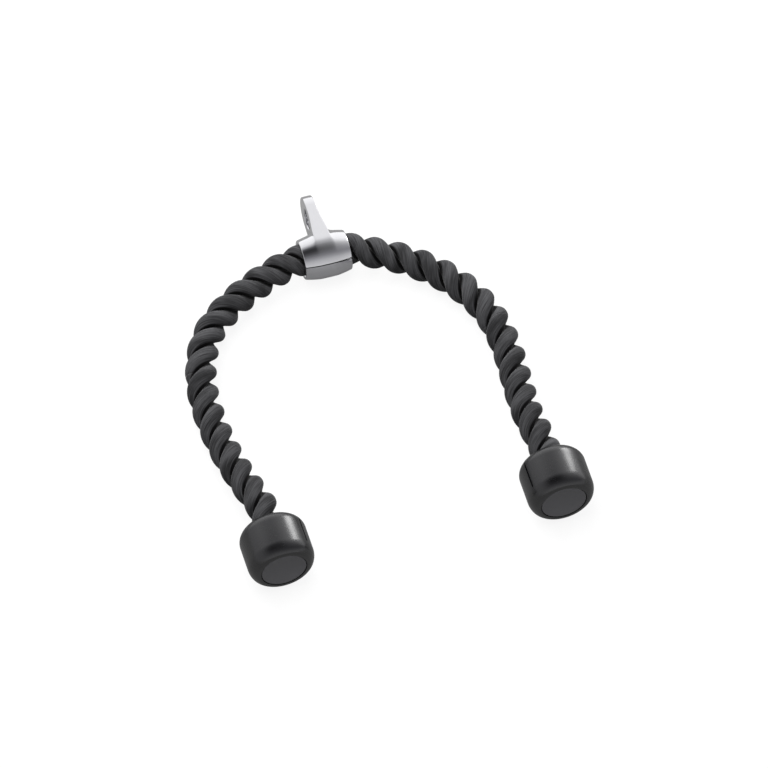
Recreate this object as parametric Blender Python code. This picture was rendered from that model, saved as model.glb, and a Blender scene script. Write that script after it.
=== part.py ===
"""A triceps rope attachment: a thick twisted rope through a cast connector with a lug, and two rubber knobs.

Metres, +Z up. The object lies on the floor as it is photographed: the rope leaves the connector along X,
both legs run towards -Y, and the lug points to +Y. The origin is at the centre of the footprint of the metal
and rubber parts.
"""

import math

import bmesh
import bpy
import numpy as np
from mathutils import Matrix, Vector

# General fits
touch_gap = 0.0003
cut_overrun = 0.002
weld_distance = 0.000003

# Rope. Each stretch starts and ends with a short run square to its cut, and the route's last chosen point
# lies at the knob approach before the knob's rear face.
rope_diameter = 0.026
rope_point_spacing = 0.013
rope_square_run = 0.0043
rope_sides_resolution = 4
root_flex_length = 0.066
grip_bend_start = 0.156
grip_bend_length = 0.066
knob_approach = 0.023

# Connector sleeve, a barrel round the rope
sleeve_length = 0.040
sleeve_clearance = 0.0004
sleeve_middle_wall = 0.0060
sleeve_mouth_wall = 0.0032
sleeve_edge_round = 0.0014
mouth_flare = 0.0011
mouth_flare_length = 0.0035
sleeve_side_offset = 0.0018

# Keeper strip in the front of the sleeve, with a thin flange that hooks behind the sleeve's lips
keeper_half_angle = math.radians(30)
keeper_flange_half_angle = math.radians(39)
keeper_flange_thickness = 0.0012

# Lug and its eye. Its sides run almost tangent from the barrel to its round end.
lug_reach = 0.0585
lug_end_radius = 0.0165
lug_root_sink = 0.0006
lug_thickness = 0.0085
lug_edge_round = 0.0018
lug_flare_length = 0.0156
lug_flare = 0.0026
lug_most_flare_share = 1.3
lug_root_fillet = 0.0035
eye_distance = 0.0385
eye_radius = 0.0092
eye_edge_break = 0.0008

# Lock screws through the sleeve's underside
lock_screw_radius = 0.0030
lock_screw_spacing = 0.018
lock_screw_recess = 0.0006
lock_socket_radius = 0.0016
lock_socket_depth = 0.0020

# Knobs
knob_radius = 0.0282
knob_length = 0.044
knob_rear_round_length = 0.0105
knob_front_round_length = 0.0115
knob_rear_face_radius = 0.0175
knob_face_rim = 0.0006
knob_lip_length = 0.009
knob_side_distance = 0.1193
knob_reach = 0.3012

# Fittings inside and on a knob. The ferrule fills the room between the knob's lip and the washer.
ferrule_wall = 0.0016
washer_radius = 0.0163
washer_thickness = 0.0020
end_screw_radius = 0.0024
end_screw_length = 0.020
end_screw_head_radius = 0.0058
end_screw_head_height = 0.0036
end_screw_head_clearance = 0.0052
end_screw_head_break = 0.0004
end_screw_socket_radius = 0.0022
end_screw_socket_depth = 0.0020
disc_radius = 0.019
disc_thickness = 0.003
disc_groove = 0.0007
disc_edge_break = 0.0004

# Joint places along each leg, from the sleeve's mouth
swing_axis_distance = root_flex_length / 2
lift_axis_distance = grip_bend_start + grip_bend_length / 2

# What follows from the sizes above
rope_radius = rope_diameter / 2
bore_radius = rope_radius + sleeve_clearance
middle_radius = bore_radius + sleeve_middle_wall
mouth_radius = bore_radius + sleeve_mouth_wall
flange_outer_radius = bore_radius + keeper_flange_thickness
sleeve_centre = Vector((sleeve_side_offset, (knob_reach - lug_reach) / 2, middle_radius))
lug_end_distance = lug_reach - lug_end_radius

# Depths inside a knob, from its rear face
disc_start = knob_length - touch_gap - disc_thickness
screw_head_end = disc_start - end_screw_head_clearance
screw_head_start = screw_head_end - end_screw_head_height
washer_end = screw_head_start - touch_gap
washer_start = washer_end - washer_thickness
ferrule_end = washer_start - touch_gap
ferrule_start = knob_lip_length + touch_gap

# Smoothness of the shapes
turn_sides = 56
small_turn_sides = 24
eye_sides = 40
round_steps = 5
small_round_steps = 3
crown_rings = 13
lug_straight_rings = 20
lug_flank_columns = 9
lug_end_turns = (15, 30, 45, 60, 72, 82)
sharp_edge_angle = math.radians(32)

# The rope's route on each side, from the sleeve's centre: side, back and the height of the rope's underside
# above the floor. The route's two ends, at the sleeve's mouth and at the knob's rear face, follow from the
# sizes above.
left_route = (
    (-0.0384, -0.0034, 0.0058),
    (-0.0577, -0.0102, 0.0046),
    (-0.0768, -0.0191, 0.0034),
    (-0.0948, -0.0302, 0.0024),
    (-0.1106, -0.0443, 0.0018),
    (-0.1219, -0.0615, 0.0016),
    (-0.1292, -0.0802, 0.0015),
    (-0.1336, -0.1003, 0.0015),
    (-0.1352, -0.1212, 0.0017),
    (-0.1348, -0.1425, 0.0025),
    (-0.1330, -0.1652, 0.0043),
    (-0.1299, -0.1880, 0.0072),
    (-0.1258, -0.2108, 0.0108),
    (-0.1211, -0.2342, 0.0140),
)
right_route = (
    (0.0376, -0.0074, 0.0058),
    (0.0555, -0.0170, 0.0046),
    (0.0719, -0.0284, 0.0034),
    (0.0869, -0.0420, 0.0024),
    (0.0998, -0.0579, 0.0018),
    (0.1099, -0.0761, 0.0016),
    (0.1163, -0.0959, 0.0015),
    (0.1191, -0.1166, 0.0017),
    (0.1193, -0.1378, 0.0025),
    (0.1179, -0.1586, 0.0042),
    (0.1163, -0.1784, 0.0067),
    (0.1154, -0.1973, 0.0094),
    (0.1157, -0.2161, 0.0122),
    (0.1175, -0.2342, 0.0142),
)


def clear_scene():
    for obj in list(bpy.data.objects):
        bpy.data.objects.remove(obj, do_unlink=True)


def finish(name, colour, roughness, metallic):
    """A plain material: its base colour, roughness and how metallic it is."""
    material = bpy.data.materials.new(name)
    material.use_nodes = True
    shader = material.node_tree.nodes["Principled BSDF"]
    shader.inputs["Base Color"].default_value = (*colour, 1)
    shader.inputs["Roughness"].default_value = roughness
    shader.inputs["Metallic"].default_value = metallic
    material.diffuse_color = (*colour, 1)
    return material


def make_finishes():
    return {
        "rope": finish("black_rope", (0.030, 0.030, 0.033), 0.85, 0),
        "rubber": finish("moulded_rubber", (0.022, 0.022, 0.024), 0.45, 0),
        "disc": finish("grey_cap_plastic", (0.075, 0.075, 0.080), 0.65, 0),
        "casting": finish("polished_casting", (0.80, 0.81, 0.83), 0.12, 1),
        "keeper": finish("satin_keeper_steel", (0.52, 0.53, 0.55), 0.34, 1),
        "screw": finish("black_oxide_steel", (0.08, 0.08, 0.09), 0.40, 1),
        "ferrule": finish("crimped_aluminium", (0.70, 0.71, 0.72), 0.38, 1),
        "washer": finish("zinc_plated_steel", (0.60, 0.61, 0.60), 0.32, 1),
    }


def new_object(name, mesh, material, matrix):
    obj = bpy.data.objects.new(name, mesh)
    bpy.context.scene.collection.objects.link(obj)
    obj.data.materials.append(material)
    obj.matrix_world = matrix
    return obj


def mesh_from(name, shape, smooth=True):
    """A mesh of a bmesh whose normals point outwards, shaded smooth except at its real edges."""
    bmesh.ops.recalc_face_normals(shape, faces=shape.faces)
    mesh = bpy.data.meshes.new(name)
    shape.to_mesh(mesh)
    shape.free()
    if smooth:
        mesh.shade_smooth()
        mesh.set_sharp_from_angle(angle=sharp_edge_angle)
    return mesh


def arc(centre, radii, start_degrees, end_degrees, steps=round_steps):
    """Points (along, radius) on a quarter round or part of one, its two ends included."""
    turns = np.radians(np.linspace(start_degrees, end_degrees, steps + 1))
    along, radius = centre
    return [(along + radii[0] * math.cos(t), radius + radii[1] * math.sin(t)) for t in turns]


def turned(name, outline, sides=turn_sides):
    """A mesh turned round local Z from an outline of (along, radius): solid where that ends on the axis."""
    shape = bmesh.new()
    points = [shape.verts.new((radius, 0, along)) for along, radius in outline]
    edges = [shape.edges.new(pair) for pair in zip(points, points[1:])]
    if outline[0][1] > 0:
        edges.append(shape.edges.new((points[-1], points[0])))
    bmesh.ops.spin(
        shape,
        geom=points + edges,
        axis=(0, 0, 1),
        cent=(0, 0, 0),
        steps=sides,
        angle=2 * math.pi,
    )
    bmesh.ops.remove_doubles(shape, verts=shape.verts, dist=weld_distance)
    return mesh_from(name, shape)


def cutter(name, mesh, matrix):
    obj = bpy.data.objects.new(name, mesh)
    bpy.context.scene.collection.objects.link(obj)
    obj.matrix_world = matrix
    obj.hide_render = True
    obj.display_type = "WIRE"
    return obj


def boolean(obj, operation, other):
    modifier = obj.modifiers.new(f"{operation.lower()} {other.name}", "BOOLEAN")
    modifier.operation = operation
    modifier.solver = "EXACT"
    modifier.object = other


def socket_prism(name, radius, low, high, matrix):
    """A six-sided key socket, as a cutter along local Z from low to high."""
    shape = bmesh.new()
    bmesh.ops.create_cone(
        shape, cap_ends=True, segments=6, radius1=radius, radius2=radius, depth=high - low
    )
    bmesh.ops.translate(shape, verts=shape.verts, vec=(0, 0, (low + high) / 2))
    return cutter(name, mesh_from(name, shape, smooth=False), matrix)


def smooth_route(points, start_direction, end_direction):
    """A function of length along one smooth curve through the points, its ends in the given directions."""
    points = np.array(points)
    chords = np.linalg.norm(np.diff(points, axis=0), axis=1)
    at = np.concatenate([[0], np.cumsum(chords)])
    count = len(points)
    matrix = np.zeros((count, count))
    wanted = np.zeros((count, 3))
    matrix[0, 0] = matrix[-1, -1] = 1
    wanted[0], wanted[-1] = start_direction, end_direction
    for i in range(1, count - 1):
        before, after = chords[i - 1], chords[i]
        matrix[i, i - 1 : i + 2] = after, 2 * (before + after), before
        rise_before = (points[i] - points[i - 1]) / before
        rise_after = (points[i + 1] - points[i]) / after
        wanted[i] = 3 * (after * rise_before + before * rise_after)
    slopes = np.linalg.solve(matrix, wanted)

    def place(t):
        i = min(max(int(np.searchsorted(at, t)) - 1, 0), count - 2)
        u = (t - at[i]) / chords[i]
        return (
            (2 * u**3 - 3 * u**2 + 1) * points[i]
            + (u**3 - 2 * u**2 + u) * chords[i] * slopes[i]
            + (3 * u**2 - 2 * u**3) * points[i + 1]
            + (u**3 - u**2) * chords[i] * slopes[i + 1]
        )

    steps_per_point = 40
    steps = np.linspace(0, at[-1], steps_per_point * count)
    places = np.array([place(t) for t in steps])
    lengths = np.concatenate([[0], np.cumsum(np.linalg.norm(np.diff(places, axis=0), axis=1))])

    def at_length(s):
        return np.array([np.interp(s, lengths, places[:, k]) for k in range(3)])

    return at_length, lengths[-1]


class Leg:
    """One side of the rope: its route, its knob's place and the places of its two joints."""

    def __init__(self, side_name, side, route):
        self.name = side_name
        self.side = side
        knob_rear = knob_length - knob_reach + sleeve_centre.y
        self.knob_place = Vector((side * knob_side_distance, knob_rear, knob_radius))
        self.knob_matrix = Matrix.Translation(self.knob_place) @ Matrix.Rotation(math.radians(90), 4, "X")
        mouth = sleeve_centre + Vector((side * sleeve_length / 2, 0, 0))
        side_share = (side * knob_side_distance - sleeve_centre.x) / route[-1][0]
        back_share = (knob_approach + knob_length - knob_reach) / route[-1][1]
        free = [
            (sleeve_centre.x + x * side_share, sleeve_centre.y + y * back_share, rope_radius + under)
            for x, y, under in route
        ]
        points = [tuple(mouth), *free, tuple(self.knob_place)]
        self.place, self.length = smooth_route(points, (side, 0, 0), (0, -1, 0))
        self.swing_place = Vector(self.place(swing_axis_distance))
        self.lift_place = Vector(self.place(lift_axis_distance))
        along = self.direction(lift_axis_distance)
        self.lift_axis = Vector(along).cross(Vector((0, 0, 1))).normalized()

    def direction(self, s):
        """The way the rope runs at a length from the mouth: straight out, and straight into the knob."""
        if s <= 0:
            return np.array((self.side, 0, 0))
        if s >= self.length:
            return np.array((0, -1, 0))
        ahead = self.place(s + rope_square_run) - self.place(s - rope_square_run)
        return ahead / np.linalg.norm(ahead)


def rope_stretch(name, leg, start, end, material):
    """A plain tube along the route, its ends cut square to it, so that stretches meet face to face."""
    start_place, end_place = leg.place(start), leg.place(end)
    start_along, end_along = leg.direction(start), leg.direction(end)
    inner = np.linspace(start, end, max(3, round((end - start) / rope_point_spacing) + 1))[1:-1]
    points = [start_place + start_along * touch_gap / 2, start_place + start_along * rope_square_run]
    points += [leg.place(s) for s in inner]
    points += [end_place - end_along * rope_square_run, end_place - end_along * touch_gap / 2]
    curve = bpy.data.curves.new(name, "CURVE")
    curve.dimensions = "3D"
    curve.bevel_depth = rope_radius
    curve.bevel_resolution = rope_sides_resolution
    curve.use_fill_caps = True
    spline = curve.splines.new("POLY")
    spline.points.add(len(points) - 1)
    for point, place in zip(spline.points, points):
        point.co = (*place, 1)
    return new_object(name, curve, material, Matrix.Identity(4))


def rope_middle(material):
    """The stretch of rope inside the sleeve."""
    half = sleeve_length / 2 - touch_gap / 2
    outline = [(-half, 0), (-half, rope_radius), (half, rope_radius), (half, 0)]
    mesh = turned("rope_middle", outline, small_turn_sides)
    return new_object("rope_middle", mesh, material, sleeve_frame())


def sleeve_frame():
    """Local Z along the sleeve, towards +X."""
    return Matrix.Translation(sleeve_centre) @ Matrix.Rotation(math.radians(90), 4, "Y")


def barrel_outline():
    """The outside of the sleeve as a solid barrel, in (along, radius): a crown between two rounded edges."""
    edge = sleeve_edge_round
    half = sleeve_length / 2
    outer = [(x, sleeve_radius_at(x)) for x in np.linspace(edge - half, half - edge, crown_rings)]
    left_edge = arc((edge - half, outer[0][1] - edge), (edge, edge), 180, 90, small_round_steps)[:-1]
    right_edge = arc((half - edge, outer[-1][1] - edge), (edge, edge), 90, 0, small_round_steps)[1:]
    return [(-half, 0), *left_edge, *outer, *right_edge, (half, 0)]


def bore_outline():
    """The space inside the sleeve, which opens a little towards each mouth."""
    inner = sleeve_length / 2 - mouth_flare_length
    far = sleeve_length / 2 + cut_overrun
    wide = bore_radius + mouth_flare * (far - inner) / mouth_flare_length
    return [(-far, 0), (-far, wide), (-inner, bore_radius), (inner, bore_radius), (far, wide), (far, 0)]


def sleeve_radius_at(along):
    crown = middle_radius - mouth_radius
    return mouth_radius + crown * (1 - (2 * along / sleeve_length) ** 2)


def keeper_wedge(name, half_angle, clearance):
    """A prism along the sleeve whose two slanted faces look at the sleeve's axis, opening towards -Y."""
    reach = middle_radius * 2
    apex = clearance / math.sin(half_angle)
    half = sleeve_length / 2 + cut_overrun
    shape = bmesh.new()
    corners = [
        (apex, 0),
        (apex - reach * math.cos(half_angle), reach * math.sin(half_angle)),
        (apex - reach * math.cos(half_angle), -reach * math.sin(half_angle)),
    ]
    face = shape.faces.new([shape.verts.new((-half, y, z)) for y, z in corners])
    grown = bmesh.ops.extrude_face_region(shape, geom=[face])
    moved = [v for v in grown["geom"] if isinstance(v, bmesh.types.BMVert)]
    bmesh.ops.translate(shape, verts=moved, vec=(2 * half, 0, 0))
    return cutter(name, mesh_from(name, shape, smooth=False), Matrix.Translation(sleeve_centre))


def ring_outline(half, inner, outer):
    return [(-half, inner), (-half, outer), (half, outer), (half, inner)]


def turned_cutter(name, outline):
    return cutter(name, turned(name, outline), sleeve_frame())


def lug_half_thickness(back, height):
    """Half the lug's thickness at a place on its flank: flat by the eye, and flared towards the sleeve."""
    near = max(0, middle_radius + lug_flare_length - back) / lug_flare_length
    rise = max(0, lug_root_fillet - max(0, math.hypot(back, height) - middle_radius))
    fillet = lug_root_fillet - math.sqrt(lug_root_fillet**2 - rise**2)
    return lug_thickness / 2 + lug_flare * min(near, lug_most_flare_share) ** 2 + fillet


def lug_taper():
    """The sine of the angle at which the lug's sides close in on each other."""
    return (middle_radius - lug_root_sink - lug_end_radius) / lug_end_distance


def lug_half_width(back):
    """Half the lug's height at a distance behind the sleeve's axis: a straight taper into its round end."""
    taper = lug_taper()
    if back <= lug_end_distance + lug_end_radius * taper:
        return (middle_radius - lug_root_sink - back * taper) / math.sqrt(1 - taper**2)
    return math.sqrt(lug_end_radius**2 - (back - lug_end_distance) ** 2)


def lug_mesh():
    """The lug as rings from the sleeve's axis to its tip, each with two flanks and two rounded edges."""
    straight = np.linspace(0, lug_end_distance + lug_end_radius * lug_taper(), lug_straight_rings)
    round_end = [lug_end_distance + lug_end_radius * math.sin(math.radians(t)) for t in lug_end_turns]
    edge_turns = np.linspace(0, math.pi / 2, small_round_steps + 1)[1:]
    flank_shares = np.linspace(-1, 1, lug_flank_columns)
    most_edge_share = 0.8
    shape = bmesh.new()
    rings = []
    for back in [*straight, *round_end]:
        width = lug_half_width(back)
        edge = min(lug_edge_round, width * most_edge_share)
        flat = width - edge
        one_side = [(lug_half_thickness(back, share * flat), share * flat) for share in flank_shares]
        thick = one_side[-1][0]
        one_side += [(thick - edge * (1 - math.cos(t)), flat + edge * math.sin(t)) for t in edge_turns]
        other_side = [(-x, -z) for x, z in one_side]
        rings.append([shape.verts.new((x, back, z)) for x, z in one_side + other_side])
    for near, far in zip(rings, rings[1:]):
        for i in range(len(near)):
            j = (i + 1) % len(near)
            shape.faces.new((near[i], near[j], far[j], far[i]))
    shape.faces.new(rings[0])
    shape.faces.new(rings[-1])
    return mesh_from("lug", shape)


def eye_cutter():
    """A hole through the lug along X, with a small break at both its edges."""
    half = lug_thickness / 2
    inner = half - eye_edge_break
    far = half + cut_overrun
    wide = eye_radius + far - inner
    outline = [(-far, 0), (-far, wide), (-inner, eye_radius), (inner, eye_radius), (far, wide), (far, 0)]
    place = sleeve_centre + Vector((0, eye_distance, 0))
    matrix = Matrix.Translation(place) @ Matrix.Rotation(math.radians(90), 4, "Y")
    return cutter("eye_cutter", turned("eye_cutter", outline, eye_sides), matrix)


def lock_screw_places():
    return {"left": -lock_screw_spacing / 2, "right": lock_screw_spacing / 2}


def lock_screw_frame(along):
    """Local Z points down, out of the sleeve's underside, from the sleeve's axis."""
    place = sleeve_centre + Vector((along, 0, 0))
    return Matrix.Translation(place) @ Matrix.Rotation(math.radians(180), 4, "X")


def keeper_flange_blank(name, fit):
    """The ring behind the sleeve's lips: the keeper's flange, or with a fit the rebate that it lies in."""
    half = sleeve_length / 2 - mouth_flare_length - touch_gap + fit
    core = rope_radius / 2
    ring = turned_cutter(name, ring_outline(half, core, flange_outer_radius + fit))
    boolean(ring, "INTERSECT", keeper_wedge(f"{name}_wedge", keeper_flange_half_angle, fit))
    return ring


def make_lock_screw(side, along, body, finishes):
    """One set screw in the sleeve's underside, and its hole in the body."""
    frame = lock_screw_frame(along)
    tip = rope_radius + touch_gap
    top = sleeve_radius_at(along) - lock_screw_recess
    point = lock_screw_radius / 3
    hole_radius = lock_screw_radius + touch_gap
    hole_end = middle_radius + cut_overrun
    hole_outline = [(0, 0), (0, hole_radius), (hole_end, hole_radius), (hole_end, 0)]
    hole = cutter(f"lock_hole_{side}", turned(f"lock_hole_{side}", hole_outline, small_turn_sides), frame)
    boolean(body, "DIFFERENCE", hole)
    outline = [
        (tip, 0),
        (tip, lock_screw_radius - point),
        (tip + point, lock_screw_radius),
        (top, lock_screw_radius),
        (top, 0),
    ]
    name = f"lock_screw_{side}"
    screw = new_object(name, turned(name, outline, small_turn_sides), finishes["screw"], frame)
    socket_low = top - lock_socket_depth
    socket = socket_prism(f"{name}_socket", lock_socket_radius, socket_low, top + cut_overrun, frame)
    boolean(screw, "DIFFERENCE", socket)
    return screw


def make_connector(finishes):
    """The cast body, its keeper and its lock screws."""
    frame = sleeve_frame()
    body = new_object("connector_body", turned("body_barrel", barrel_outline()), finishes["casting"], frame)
    keeper_mesh = turned("keeper_barrel", barrel_outline())
    keeper = new_object("connector_keeper", keeper_mesh, finishes["keeper"], frame)
    lug = cutter("lug_blank", lug_mesh(), Matrix.Translation(sleeve_centre))
    bore = turned_cutter("bore_cutter", bore_outline())

    boolean(body, "UNION", lug)
    boolean(body, "DIFFERENCE", bore)
    boolean(body, "DIFFERENCE", keeper_wedge("keeper_gap_wedge", keeper_half_angle, touch_gap))
    boolean(body, "DIFFERENCE", keeper_flange_blank("rebate_cutter", touch_gap))
    boolean(body, "DIFFERENCE", eye_cutter())
    boolean(keeper, "INTERSECT", keeper_wedge("keeper_wedge", keeper_half_angle, 0))
    boolean(keeper, "UNION", keeper_flange_blank("keeper_flange", 0))
    boolean(keeper, "DIFFERENCE", bore)

    screws = [make_lock_screw(side, along, body, finishes) for side, along in lock_screw_places().items()]
    return [body, keeper, *screws]


def knob_outline():
    """The knob's wall: from the rope's mouth over the outside to the disc's recess, and back inside."""
    rope_hole = rope_radius + touch_gap
    pocket = rope_hole + ferrule_wall + touch_gap
    seat = max(washer_radius, pocket) + touch_gap
    recess = disc_radius + disc_groove
    face_edge = recess + knob_face_rim
    rear = arc(
        (knob_rear_round_length, knob_rear_face_radius),
        (knob_rear_round_length, knob_radius - knob_rear_face_radius),
        180,
        90,
    )
    front = arc(
        (knob_length - knob_front_round_length, face_edge),
        (knob_front_round_length, knob_radius - face_edge),
        90,
        0,
    )
    inside = [
        (knob_length, recess),
        (disc_start - touch_gap, recess),
        (disc_start - touch_gap, seat),
        (ferrule_end, seat),
        (ferrule_end, pocket),
        (knob_lip_length, pocket),
        (knob_lip_length, rope_hole),
        (0, rope_hole),
    ]
    return rear + front + inside


def make_knob(leg, finishes):
    """A moulded knob and what holds it on the rope's end, all along the knob's own axis."""
    frame = leg.knob_matrix
    rope_hole = rope_radius + touch_gap

    def turned_piece(kind, outline, finish_name, sides):
        name = f"{leg.name}_{kind}"
        return new_object(name, turned(name, outline, sides), finishes[finish_name], frame)

    knob = turned_piece("knob", knob_outline(), "rubber", turn_sides)
    pilot = end_screw_radius + touch_gap
    pilot_depth = ferrule_end - end_screw_length
    rope_end = turned_piece(
        "rope_end",
        [
            (touch_gap / 2, 0),
            (touch_gap / 2, rope_radius),
            (ferrule_end, rope_radius),
            (ferrule_end, pilot),
            (pilot_depth, pilot),
            (pilot_depth, 0),
        ],
        "rope",
        small_turn_sides,
    )
    ferrule = turned_piece(
        "ferrule",
        [
            (ferrule_start, rope_hole),
            (ferrule_start, rope_hole + ferrule_wall),
            (ferrule_end, rope_hole + ferrule_wall),
            (ferrule_end, rope_hole),
        ],
        "ferrule",
        small_turn_sides,
    )
    washer = turned_piece(
        "washer",
        [
            (washer_start, pilot),
            (washer_start, washer_radius),
            (washer_end, washer_radius),
            (washer_end, pilot),
        ],
        "washer",
        small_turn_sides,
    )
    screw_tip = pilot_depth + touch_gap
    screw = turned_piece(
        "end_screw",
        [
            (screw_tip, 0),
            (screw_tip + end_screw_radius, end_screw_radius),
            (screw_head_start, end_screw_radius),
            (screw_head_start, end_screw_head_radius),
            (screw_head_end - end_screw_head_break, end_screw_head_radius),
            (screw_head_end, end_screw_head_radius - end_screw_head_break),
            (screw_head_end, 0),
        ],
        "screw",
        small_turn_sides,
    )
    socket_ends = (screw_head_end - end_screw_socket_depth, screw_head_end + cut_overrun)
    socket = socket_prism(f"{leg.name}_end_socket", end_screw_socket_radius, *socket_ends, frame)
    boolean(screw, "DIFFERENCE", socket)
    disc_end = disc_start + disc_thickness
    disc = turned_piece(
        "end_disc",
        [
            (disc_start, 0),
            (disc_start, disc_radius),
            (disc_end - disc_edge_break, disc_radius),
            (disc_end, disc_radius - disc_edge_break),
            (disc_end, 0),
        ],
        "disc",
        turn_sides,
    )
    return [knob, rope_end, ferrule, washer, screw, disc]


def make_leg(leg, finishes):
    """The free rope of one side, as a root, an upper stretch, a bend and a lower stretch, and its knob."""
    bend_end = grip_bend_start + grip_bend_length
    rope = finishes["rope"]
    root = rope_stretch(f"{leg.name}_rope_root", leg, 0, root_flex_length, rope)
    upper = rope_stretch(f"{leg.name}_rope_upper", leg, root_flex_length, grip_bend_start, rope)
    bend = rope_stretch(f"{leg.name}_rope_bend", leg, grip_bend_start, bend_end, rope)
    lower = rope_stretch(f"{leg.name}_rope_lower", leg, bend_end, leg.length, rope)
    return root, [upper, bend], [lower, *make_knob(leg, finishes)]


def axis_empty(name, place, parent):
    empty = bpy.data.objects.new(name, None)
    empty.empty_display_size = rope_radius
    bpy.context.scene.collection.objects.link(empty)
    empty.matrix_world = Matrix.Translation(place)
    hang(empty, parent)
    return empty


def hang(obj, parent):
    """Parents an object and leaves it where it is."""
    if parent is None:
        return
    bpy.context.view_layer.update()
    place = obj.matrix_world.copy()
    obj.parent = parent
    obj.matrix_parent_inverse = parent.matrix_world.inverted()
    obj.matrix_world = place


def main():
    clear_scene()
    finishes = make_finishes()
    connector_axis = axis_empty("connector", sleeve_centre, None)
    for obj in [*make_connector(finishes), rope_middle(finishes["rope"])]:
        hang(obj, connector_axis)
    for side_name, side, route in (("left", -1, left_route), ("right", 1, right_route)):
        leg = Leg(side_name, side, route)
        root, upper_pieces, lower_pieces = make_leg(leg, finishes)
        swing = axis_empty(f"{side_name}_swing_axis", leg.swing_place, connector_axis)
        lift = axis_empty(f"{side_name}_lift_axis", leg.lift_place, swing)
        hang(root, connector_axis)
        for obj in upper_pieces:
            hang(obj, swing)
        for obj in lower_pieces:
            hang(obj, lift)
        print(side_name, "free length", round(leg.length, 4), "swing axis at", leg.swing_place)
        print(side_name, "lift axis at", leg.lift_place, "along", leg.lift_axis)


main()
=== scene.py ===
"""The looks of a triceps rope attachment: a thick rope through a chromed connector, with two rubber knobs."""

import math

import bmesh
import bpy
import numpy as np
from mathutils import Matrix, Vector


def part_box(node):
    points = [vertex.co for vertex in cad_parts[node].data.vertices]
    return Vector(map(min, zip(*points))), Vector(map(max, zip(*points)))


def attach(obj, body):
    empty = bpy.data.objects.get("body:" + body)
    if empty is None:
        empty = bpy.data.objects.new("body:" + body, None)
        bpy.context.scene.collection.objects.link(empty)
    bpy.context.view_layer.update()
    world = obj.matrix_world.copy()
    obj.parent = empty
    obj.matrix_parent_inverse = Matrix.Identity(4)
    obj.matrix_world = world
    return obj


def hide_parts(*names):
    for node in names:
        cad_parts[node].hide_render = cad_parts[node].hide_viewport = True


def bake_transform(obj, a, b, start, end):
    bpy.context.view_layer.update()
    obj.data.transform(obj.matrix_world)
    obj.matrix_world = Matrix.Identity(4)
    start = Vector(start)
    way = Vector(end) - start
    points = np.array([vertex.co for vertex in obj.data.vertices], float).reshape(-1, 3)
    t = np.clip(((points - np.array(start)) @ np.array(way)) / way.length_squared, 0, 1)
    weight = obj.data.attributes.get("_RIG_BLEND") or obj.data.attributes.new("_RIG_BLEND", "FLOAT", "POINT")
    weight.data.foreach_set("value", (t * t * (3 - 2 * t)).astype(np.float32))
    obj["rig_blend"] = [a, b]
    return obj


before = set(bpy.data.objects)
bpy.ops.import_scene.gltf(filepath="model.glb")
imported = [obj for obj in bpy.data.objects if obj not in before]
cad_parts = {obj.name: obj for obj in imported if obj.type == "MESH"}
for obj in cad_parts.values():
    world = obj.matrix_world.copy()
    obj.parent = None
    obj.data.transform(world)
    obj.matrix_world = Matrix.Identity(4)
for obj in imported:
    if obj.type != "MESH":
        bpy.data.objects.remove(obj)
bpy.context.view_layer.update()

# The view. The attachment is seen from well above and a little to its left, through a very long lens, so
# that its parallel lines stay parallel. The picture's middle falls inside the loop of the rope.
body_low, body_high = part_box("connector_body")
keeper_low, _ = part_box("connector_keeper")
sleeve_radius = (body_high.z - body_low.z) / 2
sleeve_length = body_high.x - body_low.x
sleeve_centre = Vector(((body_low.x + body_high.x) / 2, keeper_low.y + sleeve_radius, sleeve_radius))
view_azimuth = math.radians(-16.3)
view_elevation = math.radians(55)
view_distance = 12.0
picture_width = 0.6347
middle_to_the_right = 0.04967
middle_below = 0.10727

view_right = Vector((math.cos(view_azimuth), math.sin(view_azimuth), 0))
view_back = Vector((
    math.sin(view_azimuth) * math.cos(view_elevation),
    -math.cos(view_azimuth) * math.cos(view_elevation),
    math.sin(view_elevation),
))
view_up = view_back.cross(view_right)
looked_at = sleeve_centre + view_right * middle_to_the_right - view_up * middle_below
looked_at -= view_back * (looked_at.z / view_back.z)
lens = bpy.data.cameras.new("long_lens")
lens.sensor_width = 36
lens.lens = lens.sensor_width * view_distance / picture_width
lens.clip_start = 0.1
lens.clip_end = 100
camera = bpy.data.objects.new("camera", lens)
bpy.context.scene.collection.objects.link(camera)
camera.matrix_world = Matrix.Translation(looked_at + view_back * view_distance) @ Matrix(
    (view_right, view_up, view_back)
).transposed().to_4x4()
bpy.context.scene.camera = camera

# The rope. It is one black polypropylene rope of two thick strands, laid right-handed, each a bundle of
# yarns. It runs through the connector, and each leg is made here as two lengths, which meet where the leg
# stays straight.
rope_low, rope_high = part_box("rope_middle")
rope_radius = (rope_high.z - rope_low.z) / 2
strands = 2
strand_centre_share = 0.42
strand_height_share = 0.60
strand_width_share = 0.69
yarns = 20
yarn_depth = 0.00014
yarn_turn_per_metre = 14.0
points_round_strand = 160
# How far out from the plane between the two strands the painted groove shade reaches
groove_shade_reach = 0.0038
ring_spacing = 0.001
places_for_each_point = 40
strand_pattern_shift = 0.37
fibre_scale = (90, 46, 1)
blotch_scale = (60, 2.2, 1)
rings_for_each_path_point = 10
leg_cut = 0.150
root_bend = (0.0, 0.066)
grip_bend = (0.156, 0.222)
rope_inside_knob = 0.028
route_left = (
    (-0.0384, -0.0034, 0.0058), (-0.0577, -0.0102, 0.0046), (-0.0768, -0.0191, 0.0034),
    (-0.0948, -0.0302, 0.0024), (-0.1106, -0.0443, 0.0018), (-0.1219, -0.0615, 0.0016),
    (-0.1292, -0.0802, 0.0015), (-0.1336, -0.1003, 0.0015), (-0.1352, -0.1212, 0.0017),
    (-0.1348, -0.1425, 0.0025), (-0.1330, -0.1652, 0.0043), (-0.1299, -0.1880, 0.0072),
    (-0.1258, -0.2108, 0.0108), (-0.1211, -0.2342, 0.0140),
)
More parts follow.
